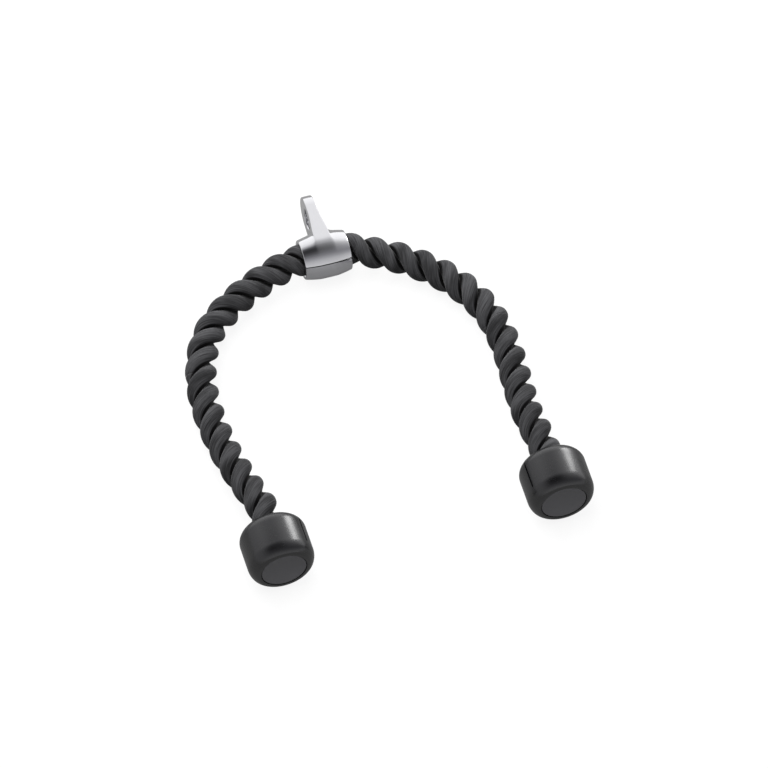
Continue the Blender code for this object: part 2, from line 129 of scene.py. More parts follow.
route_right = (
    (0.0376, -0.0074, 0.0058), (0.0555, -0.0170, 0.0046), (0.0719, -0.0284, 0.0034),
    (0.0869, -0.0420, 0.0024), (0.0998, -0.0579, 0.0018), (0.1099, -0.0761, 0.0016),
    (0.1163, -0.0959, 0.0015), (0.1191, -0.1166, 0.0017), (0.1193, -0.1378, 0.0025),
    (0.1179, -0.1586, 0.0042), (0.1163, -0.1784, 0.0067), (0.1154, -0.1973, 0.0094),
    (0.1157, -0.2161, 0.0122), (0.1175, -0.2342, 0.0142),
)
# Where the first gap between two strands lies at the mouth, how fast it turns, and how that slows down
left_lay = (-2.390, 160.9, -33.5)
right_lay = (-1.285, 152.8, -9.0)


def smooth_route(points, start_direction, end_direction):
    """Places along one smooth curve through the points, and their lengths from its start."""
    points = np.array(points)
    chords = np.linalg.norm(np.diff(points, axis=0), axis=1)
    at = np.concatenate([[0], np.cumsum(chords)])
    count = len(points)
    matrix = np.zeros((count, count))
    wanted = np.zeros((count, 3))
    matrix[0, 0] = matrix[-1, -1] = 1
    wanted[0], wanted[-1] = start_direction, end_direction
    for i in range(1, count - 1):
        before, after = chords[i - 1], chords[i]
        matrix[i, i - 1:i + 2] = after, 2 * (before + after), before
        rise_before = (points[i] - points[i - 1]) / before
        rise_after = (points[i + 1] - points[i]) / after
        wanted[i] = 3 * (after * rise_before + before * rise_after)
    slopes = np.linalg.solve(matrix, wanted)
    places = []
    for t in np.linspace(0, at[-1], places_for_each_point * count):
        i = min(max(int(np.searchsorted(at, t)) - 1, 0), count - 2)
        u = (t - at[i]) / chords[i]
        places.append(
            (2 * u**3 - 3 * u**2 + 1) * points[i]
            + (u**3 - 2 * u**2 + u) * chords[i] * slopes[i]
            + (3 * u**2 - 2 * u**3) * points[i + 1]
            + (u**3 - u**2) * chords[i] * slopes[i + 1]
        )
    places = np.array(places)
    lengths = np.concatenate([[0], np.cumsum(np.linalg.norm(np.diff(places, axis=0), axis=1))])
    return places, lengths


def leg_centre(side, route, knob_box):
    """The leg's centreline from the sleeve's middle into the knob, and each point's length from the mouth."""
    mouth = np.array(sleeve_centre) + np.array((side * sleeve_length / 2, 0, 0))
    knob_low, knob_high = knob_box
    knob_rear = ((knob_low.x + knob_high.x) / 2, knob_high.y, (knob_low.z + knob_high.z) / 2)
    free = [(sleeve_centre.x + x, sleeve_centre.y + y, rope_radius + under) for x, y, under in route]
    places, lengths = smooth_route([mouth, *free, knob_rear], (side, 0, 0), (0, -1, 0))
    first = round(-sleeve_length / 2 / ring_spacing)
    last = round((lengths[-1] + rope_inside_knob) / ring_spacing)
    at = np.arange(first, last + 1) * ring_spacing
    centre = np.array([[np.interp(s, lengths, places[:, k]) for k in range(3)] for s in at])
    inside_sleeve = at < 0
    inside_knob = at > lengths[-1]
    centre[inside_sleeve] = mouth + np.outer(at[inside_sleeve], (side, 0, 0))
    centre[inside_knob] = np.array(knob_rear) + np.outer(at[inside_knob] - lengths[-1], (0, -1, 0))
    return at, centre


def laid_strands(name, at, centre, lay, keep):
    """Strands wound round the part of a centreline that is kept, each closed at both its ends."""
    along = np.gradient(centre, axis=0)
    along /= np.linalg.norm(along, axis=1)[:, None]
    sideways = np.cross((0, 0, 1), along)
    sideways /= np.linalg.norm(sideways, axis=1)[:, None]
    upwards = np.cross(along, sideways)
    at, centre, sideways, upwards = at[keep], centre[keep], sideways[keep], upwards[keep]
    gap_turn = lay[0] + lay[1] * at + lay[2] * at**2
    around = points_round_strand
    round_strand = np.linspace(-math.pi, math.pi, around + 1)[None, :-1]
    ring, point = np.meshgrid(np.arange(len(at) - 1), np.arange(around), indexing="ij")
    corner_steps = ((0, 0), (0, 1), (1, 1), (1, 0))
    quads = np.stack([(ring + a) * around + (point + b) % around for a, b in corner_steps], axis=-1)
    verts, faces, face_uvs, groove_shade_mask = [], [], [], []
    for strand in range(strands):
        turn = gap_turn + math.pi / strands + strand * 2 * math.pi / strands
        outwards = np.cos(turn)[:, None] * sideways + np.sin(turn)[:, None] * upwards
        across = -np.sin(turn)[:, None] * sideways + np.cos(turn)[:, None] * upwards
        yarn_turn = yarn_turn_per_metre * at
        ridge = yarn_depth * (np.abs(np.cos(yarns / 2 * (round_strand + yarn_turn[:, None]))) - 1)
        out = rope_radius * strand_centre_share
        out = out + (rope_radius * strand_height_share + ridge) * np.cos(round_strand)
        side = (rope_radius * strand_width_share + ridge) * np.sin(round_strand)
        rings = centre[:, None, :] + out[..., None] * outwards[:, None, :]
        rings = rings + side[..., None] * across[:, None, :]
        verts.extend(rings.reshape(-1, 3).tolist())
        # Painted shade: 1 on the plane between the strands and fading to 0 further out; the rope's colour is
        # darkened with it in place of the shade in the crevice
        groove_shade_mask.append(np.clip(1 - out / groove_shade_reach, 0, 1).ravel())
        first = strand * len(at) * around
        faces.extend((quads.reshape(-1, 4) + first).tolist())
        u = np.stack([at[ring + a] for a, b in corner_steps], axis=-1)
        shift = strand * strand_pattern_shift
        v = [(point + b) / around + yarn_turn[ring + a] / (2 * math.pi) + shift for a, b in corner_steps]
        face_uvs.append(np.stack([u, np.stack(v, axis=-1)], axis=-1).reshape(-1, 2))
        for end, order in ((0, -1), (len(at) - 1, 1)):
            faces.append([first + end * around + j for j in range(around)][::order])
            face_uvs.append(np.stack([np.full(around, at[end]), np.linspace(0, 1, around)], axis=-1))
    mesh = bpy.data.meshes.new(name)
    mesh.from_pydata(verts, [], faces)
    layer = mesh.uv_layers.new(name="strand")
    layer.data.foreach_set("uv", np.concatenate(face_uvs).astype(np.float32).ravel())
    depth = mesh.attributes.new("groove", "FLOAT", "POINT")
    depth.data.foreach_set("value", np.concatenate(groove_shade_mask).astype(np.float32))
    mesh.update()
    mesh.shade_smooth()
    piece = bpy.data.objects.new(name, mesh)
    bpy.context.scene.collection.objects.link(piece)
    return piece


def new_material(name):
    """A material with its Principled shader, its nodes and a way to join two sockets."""
    material = bpy.data.materials.new(name)
    material.use_nodes = True
    nodes = material.node_tree.nodes
    return material, nodes["Principled BSDF"], nodes, material.node_tree.links.new


def dress(piece, material, body, slot, *replaced):
    """Gives a new piece its only material and the body it moves with, and hides the nodes it stands for. The
    slot is not used.
    """
    piece.data.materials.clear()
    piece.data.materials.append(material)
    if body:
        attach(piece, body)
    if replaced:
        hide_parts(*replaced)


rope_black, shader, nodes, join = new_material("black_rope")
shader.inputs["Specular IOR Level"].default_value = 0.15
shader.inputs["Sheen Weight"].default_value = 0.18
shader.inputs["Sheen Roughness"].default_value = 0.35
uv = nodes.new("ShaderNodeUVMap")
uv.uv_map = "strand"
stretch = nodes.new("ShaderNodeMapping")
stretch.inputs["Scale"].default_value = fibre_scale
fibres = nodes.new("ShaderNodeTexNoise")
fibres.inputs["Scale"].default_value = 1.0
fibres.inputs["Detail"].default_value = 4
blotch_stretch = nodes.new("ShaderNodeMapping")
blotch_stretch.inputs["Scale"].default_value = blotch_scale
blotches = nodes.new("ShaderNodeTexNoise")
blotches.inputs["Scale"].default_value = 1.0
blotches.inputs["Detail"].default_value = 2
mixed = nodes.new("ShaderNodeMix")
mixed.data_type = "FLOAT"
mixed.inputs["Factor"].default_value = 0.45
tones = nodes.new("ShaderNodeValToRGB")
tones.color_ramp.elements[0].position = 0.42
tones.color_ramp.elements[0].color = (0.022, 0.022, 0.023, 1)
tones.color_ramp.elements[1].position = 0.61
tones.color_ramp.elements[1].color = (0.086, 0.086, 0.090, 1)
gloss = nodes.new("ShaderNodeMapRange")
gloss.inputs["To Min"].default_value = 0.62
gloss.inputs["To Max"].default_value = 0.85
relief = nodes.new("ShaderNodeBump")
relief.inputs["Strength"].default_value = 0.5
relief.inputs["Distance"].default_value = 0.0002
join(uv.outputs["UV"], stretch.inputs["Vector"])
join(stretch.outputs["Vector"], fibres.inputs["Vector"])
join(uv.outputs["UV"], blotch_stretch.inputs["Vector"])
join(blotch_stretch.outputs["Vector"], blotches.inputs["Vector"])
join(fibres.outputs["Fac"], mixed.inputs["A"])
join(blotches.outputs["Fac"], mixed.inputs["B"])
# Painted shade: near the groove between the strands the colour turns almost black, standing in for the shade
# in the crevice
groove = nodes.new("ShaderNodeAttribute")
groove.attribute_name = "groove"
groove_shade_share = nodes.new("ShaderNodeMapRange")
groove_shade_share.interpolation_type = "SMOOTHSTEP"
groove_shade_share.inputs["From Min"].default_value = 0.0
groove_shade_share.inputs["From Max"].default_value = 0.42
shaded = nodes.new("ShaderNodeMix")
shaded.data_type = "RGBA"
shaded.inputs["B"].default_value = (0.002, 0.002, 0.002, 1)
join(mixed.outputs["Result"], tones.inputs["Fac"])
join(groove.outputs["Fac"], groove_shade_share.inputs["Value"])
join(groove_shade_share.outputs["Result"], shaded.inputs["Factor"])
join(tones.outputs["Color"], shaded.inputs["A"])
join(shaded.outputs["Result"], shader.inputs["Base Color"])
join(fibres.outputs["Fac"], gloss.inputs["Value"])
join(gloss.outputs["Result"], shader.inputs["Roughness"])
join(fibres.outputs["Fac"], relief.inputs["Height"])
join(relief.outputs["Normal"], shader.inputs["Normal"])

for side_name, side, route, lay in (("left", -1, route_left, left_lay), ("right", 1, route_right, right_lay)):
    at, centre = leg_centre(side, route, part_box(f"{side_name}_knob"))

    def leg_place(s):
        return Vector([float(np.interp(s, at, centre[:, k])) for k in range(3)])

    cut = int(np.argmin(np.abs(at - leg_cut)))
    upper_keep, lower_keep = slice(0, cut + 1), slice(cut, len(at))
    upper = laid_strands(f"{side_name}_rope_from_connector", at, centre, lay, upper_keep)
    lower = laid_strands(f"{side_name}_rope_into_knob", at, centre, lay, lower_keep)
    in_sleeve = ["rope_middle"] if side_name == "left" else []
    dress(upper, rope_black, None, "rope", f"{side_name}_rope_root", f"{side_name}_rope_upper", *in_sleeve)
    dress(lower, rope_black, None, "rope", *[f"{side_name}_rope_{part}" for part in ("bend", "lower", "end")])
    bends = [leg_place(s) for s in (*root_bend, *grip_bend)]
    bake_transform(upper, "connector", f"{side_name}_upper_leg", start=bends[0], end=bends[1])
    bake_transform(lower, f"{side_name}_upper_leg", f"{side_name}_lower_leg", start=bends[2], end=bends[3])
    for piece, keep, leaves_at in ((upper, upper_keep, 0.0), (lower, lower_keep, leg_cut)):
        path = [tuple(float(c) for c in place) for place in centre[keep][::rings_for_each_path_point]]
        path.append(tuple(float(c) for c in centre[keep][-1]))

# The connector's body: one metal casting, polished and chromed. A sleeve, open along its front, holds the
# rope, and a flat lug with an eye grows out of its back. The shape is drawn as a coarse cage and smoothed.
wall_at_middle = 0.0060
wall_at_mouth = 0.0032
bore_radius = sleeve_radius - wall_at_middle
mouth_flare = 0.0011
mouth_flare_from_share = 0.8
wall_round = 0.0008
column_shares = (-1, -0.935, -0.70, -0.45, -0.33, 0.33, 0.45, 0.70, 0.935, 1)
lip_turn = math.radians(150)
lip_round = math.radians(1.1)
sleeve_steps = 20
# A smoothed ring of this many points is this much smaller than its cage
cage_gain = 3 / (2 + math.cos((2 * lip_turn - 2 * lip_round) / sleeve_steps))
lug_reach = body_high.y - sleeve_centre.y
lug_end_radius = 0.0165
lug_end_distance = lug_reach - lug_end_radius
lug_half_thickness = 0.00425
lug_flare = 0.0015
lug_flare_length = 0.0156
lug_most_flare_share = 1.3
lug_edge_round = 0.0019
lug_shares = (0.07, 0.20, 0.38, 0.60, 0.82, 0.955, 1.0)
lug_column_share = 0.45
edge_column_share = 0.9
smooth_levels = 3
merge_distance = 0.00001


def sleeve_place(x, radius, turn):
    """A point of the sleeve, its turn measured from the back towards the top."""
    return sleeve_centre + Vector((x, radius * math.cos(turn), radius * math.sin(turn)))


def outer_radius(x):
    crown = wall_at_middle - wall_at_mouth
    return bore_radius + wall_at_mouth + crown * (1 - (2 * x / sleeve_length) ** 2)


def open_object(name):
    """The object that an operator has just added, named and in edit mode with all of it selected."""
    piece = bpy.context.object
    piece.name = piece.data.name = name
    bpy.ops.object.mode_set(mode="EDIT")
    bpy.ops.mesh.select_all(action="SELECT")
    return piece


def settle(piece):
    """Leaves edit mode with all faces pointing outwards, and puts the object's place into its mesh."""
    bpy.ops.mesh.select_all(action="SELECT")
    bpy.ops.mesh.normals_make_consistent(inside=False)
    bpy.ops.object.mode_set(mode="OBJECT")
    bpy.ops.object.transform_apply(location=True, rotation=True, scale=True)
    return piece


def apply_modifier(piece, name, kind, **settings):
    modifier = piece.modifiers.new(name, kind)
    for setting, value in settings.items():
        setattr(modifier, setting, value)
    bpy.ops.object.select_all(action="DESELECT")
    piece.select_set(True)
    bpy.context.view_layer.objects.active = piece
    bpy.ops.object.modifier_apply(modifier=modifier.name)


def cut_away(piece, tool):
    """Cuts a tool's shape out of a piece, and takes the tool away."""
    apply_modifier(piece, "cut", "BOOLEAN", operation="DIFFERENCE", solver="EXACT", object=tool)
    bpy.data.objects.remove(tool)


def spun_wall(name, start, end, steps):
    """A stretch of the sleeve's wall between two turns: its section as a grid, spun round the sleeve."""
    bpy.ops.object.select_all(action="DESELECT")
    bpy.ops.mesh.primitive_grid_add(x_subdivisions=len(column_shares) - 1, y_subdivisions=3, size=2)
    piece = open_object(name)
    shape = bmesh.from_edit_mesh(piece.data)
    columns = sorted({round(v.co.x, 4) for v in shape.verts})
    rows = sorted({round(v.co.y, 4) for v in shape.verts})
    for v in shape.verts:
        share = column_shares[columns.index(round(v.co.x, 4))]
        row = rows.index(round(v.co.y, 4))
        x = share * sleeve_length / 2
        towards_mouth = max(0, (abs(share) - mouth_flare_from_share) / (1 - mouth_flare_from_share))
        inner = bore_radius + mouth_flare * towards_mouth
        outer = outer_radius(x) * cage_gain
        radius = (inner, inner + wall_round, outer - wall_round, outer)[row]
        v.co = sleeve_place(x, radius, start)
    bmesh.update_edit_mesh(piece.data)
    for turn, count in ((lip_round, 1), (end - start - 2 * lip_round, steps), (lip_round, 1)):
        bpy.ops.mesh.spin(steps=count, angle=-turn, center=sleeve_centre, axis=(1, 0, 0))
    return piece


def lug_thickness_at(back):
    near = max(0, sleeve_radius + lug_flare_length - back) / lug_flare_length
    return lug_half_thickness + lug_flare * min(near, lug_most_flare_share) ** 2


connector = spun_wall("connector_casting", -lip_turn, lip_turn, sleeve_steps)
shape = bmesh.from_edit_mesh(connector.data)
turn_of = shape.verts.layers.float.new("turn")
column_of = shape.verts.layers.float.new("column")
middle_column = lug_column_share * sleeve_length / 2
for v in shape.verts:
    at_sleeve = v.co - sleeve_centre
    v[turn_of] = math.atan2(at_sleeve.z, at_sleeve.y)
    v[column_of] = at_sleeve.x
    v.select_set(False)
shape.select_flush(False)
for f in shape.faces:
    middle = f.calc_center_median() - sleeve_centre
    far_out = math.hypot(middle.y, middle.z) > outer_radius(middle.x) - wall_round / 2
    if far_out and abs(middle.x) < middle_column and middle.y > 0:
        f.select_set(True)
bmesh.update_edit_mesh(connector.data)
for share in lug_shares:
    bpy.ops.mesh.extrude_region_move(TRANSFORM_OT_translate={"value": (0, lug_edge_round, 0)})
    shape = bmesh.from_edit_mesh(connector.data)
    turn_of = shape.verts.layers.float["turn"]
    column_of = shape.verts.layers.float["column"]
    for v in shape.verts:
        if not v.select:
            continue
        turn = v[turn_of]
        radius = ((1 - share) * sleeve_radius + share * lug_end_radius) * cage_gain
        back = share * lug_end_distance + radius * math.cos(turn)
        thick = lug_thickness_at(back)
        on_edge = abs(v[column_of]) > middle_column * edge_column_share
        half = thick if on_edge else thick - lug_edge_round
        v.co = sleeve_centre + Vector((math.copysign(half, v[column_of]), back, radius * math.sin(turn)))
    bmesh.update_edit_mesh(connector.data)
settle(connector)
apply_modifier(connector, "smooth", "SUBSURF", levels=smooth_levels, render_levels=smooth_levels)
for layer in ("turn", "column"):
    connector.data.attributes.remove(connector.data.attributes[layer])

eye_distance = 0.0385
eye_radius = 0.0092
eye_round = 0.0014
eye_sides = 128
eye_round_steps = 8
eye_overrun = 0.004
eye_round_turn = math.radians(88)
eye_step_out = 0.0001
eye_step_wider = 0.0008


def lathe(name, outline, sides, place, turn_matrix=Matrix.Identity(4), closed=False):
    """A ring drawn out step by step along its own axis, each step moved and scaled to the next point."""
    bpy.ops.object.select_all(action="DESELECT")
    bpy.ops.mesh.primitive_circle_add(vertices=sides, radius=1, fill_type="NOTHING")
    piece = open_object(name)
    low, radius = outline[0]
    bpy.ops.transform.resize(value=(radius, radius, 1), center_override=(0, 0, 0))
    bpy.ops.transform.translate(value=(0, 0, low))
    if not closed:
        bpy.ops.mesh.edge_face_add()
        bpy.ops.mesh.select_all(action="SELECT")
    for along, next_radius in outline[1:]:
        if closed:
            bpy.ops.mesh.extrude_edges_move(TRANSFORM_OT_translate={"value": (0, 0, along - low)})
        else:
            bpy.ops.mesh.extrude_region_move(TRANSFORM_OT_translate={"value": (0, 0, along - low)})
        grow = next_radius / radius
        bpy.ops.transform.resize(value=(grow, grow, 1), center_override=(0, 0, along))
        low, radius = along, next_radius
    if closed:
        bpy.ops.mesh.select_all(action="SELECT")
        bpy.ops.mesh.remove_doubles(threshold=merge_distance)
    settle(piece)
    piece.data.transform(Matrix.Translation(place) @ turn_matrix)
    return piece


def quarter_round(along, radius, reach_along, reach_out, start, end, steps):
    """Points on a quarter of an ellipse, from one angle to another in degrees."""
    turns = [math.radians(start + (end - start) * i / steps) for i in range(steps + 1)]
    return [(along + reach_along * math.cos(t), radius + reach_out * math.sin(t)) for t in turns]


along_x = Matrix.Rotation(math.radians(90), 4, "Y")
rim_start = lug_half_thickness - eye_round
rim = [
    (rim_start + eye_round * math.sin(t), eye_radius + eye_round * (1 - math.cos(t)))
    for t in np.linspace(0, eye_round_turn, eye_round_steps + 1)
]
outside = (rim[-1][0] + eye_overrun, rim[-1][1] + eye_round)
half_outline = [*rim, (rim[-1][0] + eye_step_out, rim[-1][1] + eye_step_wider), outside]
eye_outline = [(-a, r) for a, r in reversed(half_outline)] + half_outline
eye_place = sleeve_centre + Vector((0, eye_distance, 0))
cut_away(connector, lathe("eye_tool", eye_outline, eye_sides, eye_place, along_x))

# Two threaded holes in the sleeve's underside take the lock screws
lock_low, lock_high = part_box("lock_screw_left")
lock_radius = (lock_high.x - lock_low.x) / 2
lock_clearance = 0.0003
lock_holes_end = 0.002
lock_hole_sides = 48
downwards = Matrix.Rotation(math.radians(180), 4, "X")
for lock_name in ("lock_screw_left", "lock_screw_right"):
    low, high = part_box(lock_name)
    top = Vector(((low.x + high.x) / 2, sleeve_centre.y, sleeve_centre.z - rope_radius / 2))
    depth = top.z + lock_holes_end
    hole = [(0, lock_radius + lock_clearance), (depth, lock_radius + lock_clearance)]
    cut_away(connector, lathe(f"{lock_name}_tool", hole, lock_hole_sides, top, downwards))
sharp_edge = math.radians(35)


def shade(piece, angle=sharp_edge):
    bpy.ops.object.select_all(action="DESELECT")
    piece.select_set(True)
    bpy.context.view_layer.objects.active = piece
    bpy.ops.object.shade_smooth_by_angle(angle=angle)


shade(connector)


def uneven_surface():
    """Slow and fine unevenness at a place on the piece: a mask for tones and a height for the relief."""
    group = bpy.data.node_groups.new("uneven_surface", "ShaderNodeTree")
    sockets = group.interface
    sockets.new_socket("Place", in_out="INPUT", socket_type="NodeSocketVector")
    sockets.new_socket("Slow Scale", in_out="INPUT", socket_type="NodeSocketFloat").default_value = 60
    sockets.new_socket("Fine Scale", in_out="INPUT", socket_type="NodeSocketFloat").default_value = 1500
    sockets.new_socket("Slow", in_out="OUTPUT", socket_type="NodeSocketFloat")
    sockets.new_socket("Fine", in_out="OUTPUT", socket_type="NodeSocketFloat")
    entry = group.nodes.new("NodeGroupInput")
    leave = group.nodes.new("NodeGroupOutput")
    for kind, detail in (("Slow", 3), ("Fine", 2)):
        noise = group.nodes.new("ShaderNodeTexNoise")
        noise.inputs["Detail"].default_value = detail
        group.links.new(entry.outputs["Place"], noise.inputs["Vector"])
        group.links.new(entry.outputs[f"{kind} Scale"], noise.inputs["Scale"])
        group.links.new(noise.outputs["Fac"], leave.inputs[kind])
    return group


uneven = uneven_surface()


def surface(name, dark, light, metallic, roughness, slow, fine, relief_depth, specular=0.5):
    """A finish whose tone and gloss drift slowly over the piece, with a fine grain in its relief."""
    material, shader, nodes, join = new_material(name)
    shader.inputs["Metallic"].default_value = metallic
    shader.inputs["Specular IOR Level"].default_value = specular
    place = nodes.new("ShaderNodeTexCoord")
    drift = nodes.new("ShaderNodeGroup")
    drift.node_tree = uneven
    drift.inputs["Slow Scale"].default_value = slow
    drift.inputs["Fine Scale"].default_value = fine
    tone = nodes.new("ShaderNodeMix")
    tone.data_type = "RGBA"
    tone.inputs["A"].default_value = (*dark, 1)
    tone.inputs["B"].default_value = (*light, 1)
    gloss = nodes.new("ShaderNodeMapRange")
    gloss.inputs["From Min"].default_value = 0.3
    gloss.inputs["From Max"].default_value = 0.7
    gloss.inputs["To Min"].default_value = roughness[0]
    gloss.inputs["To Max"].default_value = roughness[1]
    bump = nodes.new("ShaderNodeBump")
    bump.inputs["Strength"].default_value = 1.0
    bump.inputs["Distance"].default_value = relief_depth
    join(place.outputs["Object"], drift.inputs["Place"])
    join(drift.outputs["Slow"], tone.inputs["Factor"])
    join(tone.outputs["Result"], shader.inputs["Base Color"])
    join(drift.outputs["Slow"], gloss.inputs["Value"])
    join(gloss.outputs["Result"], shader.inputs["Roughness"])
    join(drift.outputs["Fine"], bump.inputs["Height"])
    join(bump.outputs["Normal"], shader.inputs["Normal"])
    return material


chrome = surface(
    "polished_casting", (0.785, 0.785, 0.795), (0.865, 0.865, 0.875), 1.0, (0.07, 0.13), 70, 900, 0.000004
)
dress(connector, chrome, "connector", "casting", "connector_body")

# The keeper: a strip of satin steel that closes the front of the sleeve over the rope. It has the sleeve's
# own section, and its upper edge stands a little away from the casting at the right-hand end.
seam_gap = 0.0005
keeper_turn = lip_turn + seam_gap / bore_radius
keeper_steps = 4
keeper_drop = 0.0036
keeper_drop_from = 0.008
keeper = spun_wall("keeper_strip", keeper_turn, 2 * math.pi - keeper_turn, keeper_steps)
shape = bmesh.from_edit_mesh(keeper.data)
for v in shape.verts:
    at_sleeve = v.co - sleeve_centre
    if at_sleeve.z > 0 and at_sleeve.x > keeper_drop_from:
        upper_share = at_sleeve.z / (sleeve_radius * math.sin(lip_turn))
        end_share = (at_sleeve.x - keeper_drop_from) / (sleeve_length / 2 - keeper_drop_from)
        v.co.z -= keeper_drop * upper_share**2 * end_share
bmesh.update_edit_mesh(keeper.data)
settle(keeper)
apply_modifier(keeper, "smooth", "SUBSURF", levels=smooth_levels, render_levels=smooth_levels)
shade(keeper)
satin_steel = surface(
    "satin_steel", (0.60, 0.60, 0.62), (0.70, 0.70, 0.72), 1.0, (0.30, 0.38), 90, 1600, 0.00001
)
dress(keeper, satin_steel, "connector", "keeper", "connector_keeper")

# The screws: two set screws of blackened steel with key sockets, flush in the sleeve's underside, which hold
# the rope in the sleeve. The end screws inside the knobs are of the same steel.
black_steel = surface(
    "black_oxide_steel", (0.050, 0.050, 0.055), (0.095, 0.095, 0.100), 1.0, (0.35, 0.5), 400, 3000, 0.00001
)
for node in ("lock_screw_left", "lock_screw_right", "left_end_screw", "right_end_screw"):
    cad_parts[node].data.materials.clear()
    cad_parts[node].data.materials.append(black_steel)

# The knobs: moulded rubber, pressed over the rope's ends. Each is hollow for the ferrule and the washer, has
# a rounded edge at either end, a narrow slot along one side and a round recess in its end face.
knob_low, knob_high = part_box("left_knob")
knob_radius = (knob_high.z - knob_low.z) / 2
knob_length = knob_high.y - knob_low.y
ferrule_low, ferrule_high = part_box("left_ferrule")
washer_low, washer_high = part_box("left_washer")
disc_low, disc_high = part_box("left_end_disc")
disc_radius = (disc_high.z - disc_low.z) / 2
disc_thickness = disc_high.y - disc_low.y
fit = 0.0003
rope_hole = rope_radius + fit
hole_edge_round = 0.0012
rear_round_length = 0.0105
rear_face_radius = 0.0175
front_round_length = 0.0115
disc_groove = 0.0005
face_rim = 0.0006
line_half_width = 0.0008
line_depth = 0.0030
line_start_share = 0.35
line_end_share = 1.05
line_tip_share = 0.3
line_sides = 16
line_turns = {"left": math.radians(54), "right": math.radians(-56)}
knob_sides = 160
knob_round_steps = 14


def inwards(y):
    """How deep a place lies in a knob, measured from its rear face."""
    return knob_high.y - y


pocket = (ferrule_high.z - ferrule_low.z) / 2 + fit
seat = max((washer_high.z - washer_low.z) / 2, pocket) + fit
recess = disc_radius + disc_groove
recess_floor = inwards(disc_high.y) - fit
ferrule_end = inwards(ferrule_low.y)
lip_length = inwards(ferrule_high.y) - fit
face_edge = recess + face_rim
knob_outline = (
    quarter_round(
        rear_round_length, rear_face_radius, rear_round_length, knob_radius - rear_face_radius,
        180, 90, knob_round_steps,
    )
    + quarter_round(
        knob_length - front_round_length, face_edge, front_round_length, knob_radius - face_edge,
        90, 0, knob_round_steps,
    )
    + [(knob_length, recess + face_rim / 4), (knob_length - face_rim / 4, recess), (recess_floor, recess)]
    + [(recess_floor, seat), (ferrule_end, seat), (ferrule_end, pocket), (lip_length, pocket)]
    + [(lip_length, rope_hole), (hole_edge_round, rope_hole)]
    + [(hole_edge_round / 3, rope_hole + hole_edge_round / 3), (0, rope_hole + hole_edge_round)]
    + [(0, rear_face_radius)]
)
rubber = surface(
    "moulded_rubber", (0.0030, 0.0029, 0.0034), (0.0055, 0.0054, 0.0062), 0.0, (0.24, 0.30),
    55, 2400, 0.00001, 1.0,
)
forwards = Matrix.Rotation(math.radians(90), 4, "X")
knob_rears = {}
for side_name in ("left", "right"):
    low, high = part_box(f"{side_name}_knob")
    knob_rears[side_name] = Vector(((low.x + high.x) / 2, high.y, (low.z + high.z) / 2))


def copy_across(piece, name):
    """A copy with its own mesh, moved from the left knob's place to the right one's."""
    twin = bpy.data.objects.new(name, piece.data.copy())
    twin.data.name = name
    bpy.context.scene.collection.objects.link(twin)
    twin.data.transform(Matrix.Translation(knob_rears["right"] - knob_rears["left"]))
    return twin


left_knob = lathe("left_rubber_knob", knob_outline, knob_sides, knob_rears["left"], forwards, closed=True)
knobs = {"left": left_knob, "right": copy_across(left_knob, "right_rubber_knob")}
line_start = rear_round_length * line_start_share
line_end = knob_length - front_round_length * line_end_share
line_tip = line_half_width * line_tip_share
line_outline = [(line_start, line_tip), (line_start + line_half_width, line_half_width)]
line_outline += [(line_end - line_half_width, line_half_width), (line_end, line_tip)]
deepened = Matrix.Diagonal((1, line_depth / line_half_width, 1, 1))
for side_name, knob in knobs.items():
    turn = line_turns[side_name]
    line_place = knob_rears[side_name] + knob_radius * Vector((math.sin(turn), 0, math.cos(turn)))
    facing_out = forwards @ Matrix.Rotation(-turn, 4, "Z") @ deepened
    cut_away(knob, lathe("line_tool", line_outline, line_sides, line_place, facing_out))
    shade(knob)
    dress(knob, rubber, f"{side_name}_lower_leg", "rubber", f"{side_name}_knob")

# The end discs: flat grey plastic caps, each pressed into its knob's recess with a narrow groove left round
# it and a shallow dish inside its raised edge.
cap_plastic = surface(
    "grey_cap_plastic", (0.150, 0.149, 0.155), (0.182, 0.181, 0.188), 0.0, (0.55, 0.68),
    80, 2600, 0.00002, 0.4,
)
disc_edge_round = 0.0006
disc_round_steps = 5
raised_edge_share = 0.93
dish_share = 0.915
disc_start = inwards(disc_high.y)
disc_end = disc_start + disc_thickness
disc_outline = [(disc_start, disc_radius - fit)]
disc_outline += quarter_round(
    disc_end - disc_edge_round, disc_radius - disc_edge_round, disc_edge_round, disc_edge_round,
    90, 0, disc_round_steps,
)
disc_outline += [(disc_end, disc_radius * raised_edge_share)]
disc_outline += [(disc_end - disc_edge_round / 4, disc_radius * dish_share)]
left_disc = lathe("left_cap_disc", disc_outline, knob_sides, knob_rears["left"], forwards)
discs = {"left": left_disc, "right": copy_across(left_disc, "right_cap_disc")}
for side_name, disc in discs.items():
    shade(disc)
    dress(disc, cap_plastic, f"{side_name}_lower_leg", "disc", f"{side_name}_end_disc")

# The fittings inside each knob, hidden in the finished handle: an aluminium ferrule, crimped round the
# rope's end, and a zinc-plated steel washer that the end screw holds against it.
crimped_aluminium = surface(
    "crimped_aluminium", (0.62, 0.63, 0.64), (0.74, 0.75, 0.76), 1.0, (0.32, 0.45), 200, 1800, 0.00002
)
zinc_plate = surface(
    "zinc_plated_steel", (0.52, 0.53, 0.50), (0.66, 0.67, 0.66), 1.0, (0.26, 0.40), 260, 2200, 0.00001
)
for side_name in ("left", "right"):
    for kind, finish in (("ferrule", crimped_aluminium), ("washer", zinc_plate)):
        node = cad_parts[f"{side_name}_{kind}"]
        node.data.materials.clear()
        node.data.materials.append(finish)

